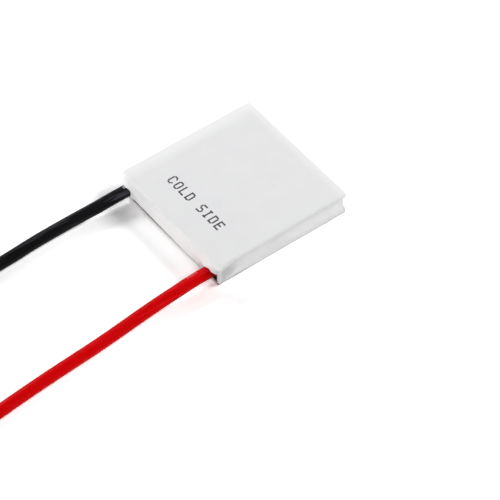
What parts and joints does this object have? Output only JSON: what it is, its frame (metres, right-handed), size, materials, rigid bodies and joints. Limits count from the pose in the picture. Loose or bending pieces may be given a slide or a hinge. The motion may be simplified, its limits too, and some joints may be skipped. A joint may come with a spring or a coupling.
{
  "type": "thermoelectric cooling module",
  "caption": "Square thermoelectric cooling module with white ceramic faces, a sealed edge, and a black and a red lead with tinned ends.",
  "frame": {"origin": "middle of the hot face, which lies on the surface", "axes": "+Z from the hot face to the cold face, +X along the lead edge from the black lead to the red one; the leads leave towards -Y"},
  "size_m": [0.0275, 0.092, 0.0043],
  "materials": {
    "alumina": "ground white alumina, matt",
    "sealant": "white silicone, satin",
    "copper": "bonded copper, dull",
    "p_type": "sawn bismuth telluride alloy, dark grey metallic",
    "n_type": "sawn bismuth telluride alloy, grey metallic",
    "solder": "reflowed tin solder, satin",
    "tinned_wire": "tinned copper strands",
    "black_insulation": "black lead insulation, semi-gloss",
    "red_insulation": "red lead insulation, semi-gloss",
    "tie": "white plastic wire tie"
  },
  "bodies": {
    "root": {"hot_side_plate": "alumina", "cold_side_plate": "alumina", "edge_sealant": "sealant", "hot_tabs_column_1": "copper", "hot_tabs_column_2": "copper", "hot_tabs_column_3": "copper", "hot_tabs_column_4": "copper", "hot_tabs_column_5": "copper", "hot_tabs_column_6": "copper", "hot_tabs_column_7": "copper", "hot_tabs_column_8": "copper", "hot_tabs_column_9": "copper", "hot_tabs_column_10": "copper", "cold_tabs_column_1": "copper", "cold_tabs_column_2": "copper", "cold_tabs_column_3": "copper", "cold_tabs_column_4": "copper", "cold_tabs_column_5": "copper", "cold_tabs_column_6": "copper", "cold_tabs_column_7": "copper", "cold_tabs_column_8": "copper", "cold_tabs_column_9": "copper", "cold_tabs_column_10": "copper", "cold_turn_tabs": "copper", "p_legs_column_1": "p_type", "p_legs_column_2": "p_type", "p_legs_column_3": "p_type", "p_legs_column_4": "p_type", "p_legs_column_5": "p_type", "p_legs_column_6": "p_type", "p_legs_column_7": "p_type", "p_legs_column_8": "p_type", "p_legs_column_9": "p_type", "p_legs_column_10": "p_type", "n_legs_column_1": "n_type", "n_legs_column_2": "n_type", "n_legs_column_3": "n_type", "n_legs_column_4": "n_type", "n_legs_column_5": "n_type", "n_legs_column_6": "n_type", "n_legs_column_7": "n_type", "n_legs_column_8": "n_type", "n_legs_column_9": "n_type", "n_legs_column_10": "n_type", "hot_side_solder": "solder", "cold_side_solder": "solder", "black_terminal_tab": "copper", "red_terminal_tab": "copper", "black_lead_strands": "tinned_wire", "red_lead_strands": "tinned_wire", "black_terminal_solder": "solder", "red_terminal_solder": "solder", "black_lead": "black_insulation", "red_lead": "red_insulation", "black_lead_coil": "black_insulation", "red_lead_coil": "red_insulation", "black_lead_tip": "tinned_wire", "red_lead_tip": "tinned_wire", "leads_tie": "tie"}
  },
  "joints": []
}
